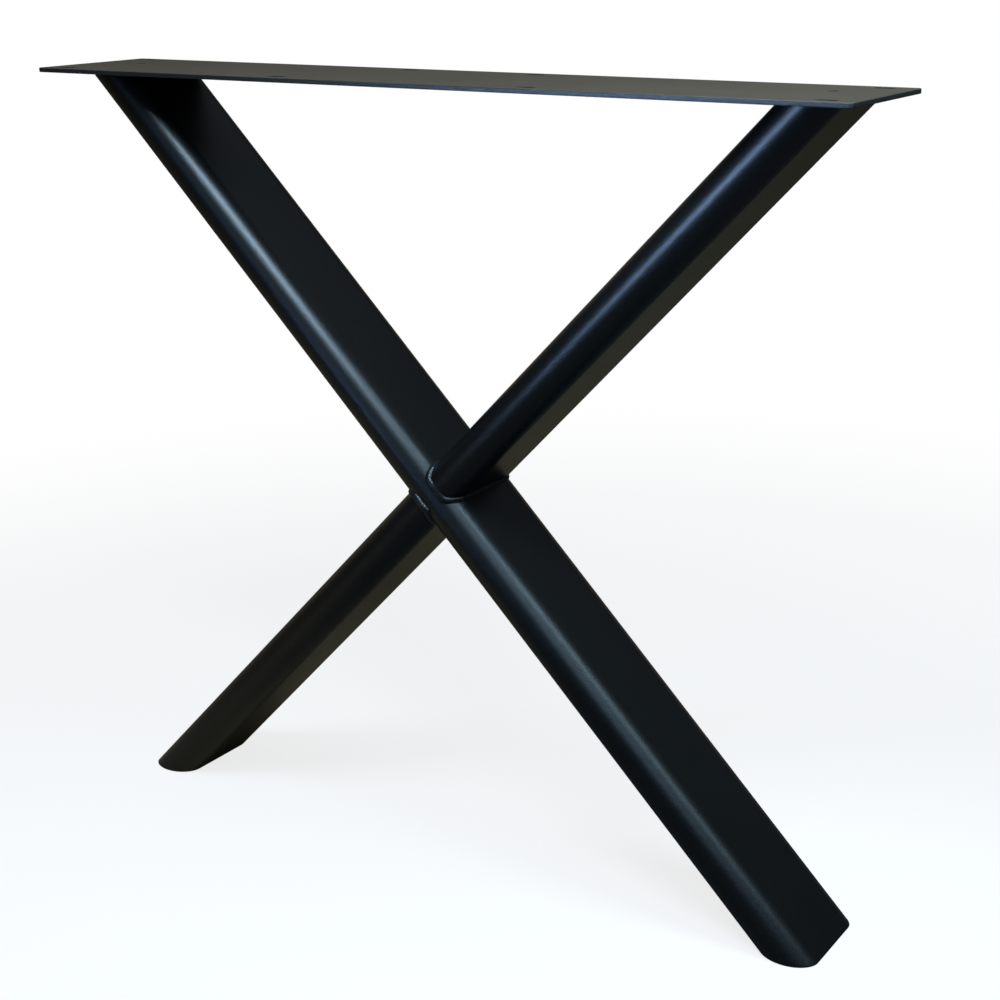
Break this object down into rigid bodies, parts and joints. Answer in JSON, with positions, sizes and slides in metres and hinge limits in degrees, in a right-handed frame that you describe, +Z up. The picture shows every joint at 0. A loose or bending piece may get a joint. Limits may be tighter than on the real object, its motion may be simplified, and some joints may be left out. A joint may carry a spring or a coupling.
{
  "type": "x shaped table leg",
  "caption": "X-shaped steel table leg of flat oval tube, one diagonal coped onto the other, with a slotted plate across the top for screwing under a table top.",
  "frame": {"origin": "on the floor, below the middle of the top plate", "axes": "+X along the top plate, towards the side on which the coped upper arm meets it; +Y across the leg, towards the side where the tubes stand flush with the plate's edge; +Z up"},
  "size_m": [0.8, 0.13, 0.71],
  "materials": {
    "tube_coat": "black satin fine texture powder coat",
    "plate_coat": "black matt fine texture powder coat",
    "weld_coat": "black satin powder coat over weld beads"
  },
  "bodies": {
    "root": {"long_tube": "tube_coat", "upper_arm_tube": "tube_coat", "lower_arm_tube": "tube_coat", "top_plate": "plate_coat", "upper_joint_weld": "weld_coat", "lower_joint_weld": "weld_coat", "long_tube_top_weld": "weld_coat", "upper_arm_top_weld": "weld_coat", "long_tube_foot_plate": "tube_coat", "lower_arm_foot_plate": "tube_coat"}
  },
  "joints": []
}
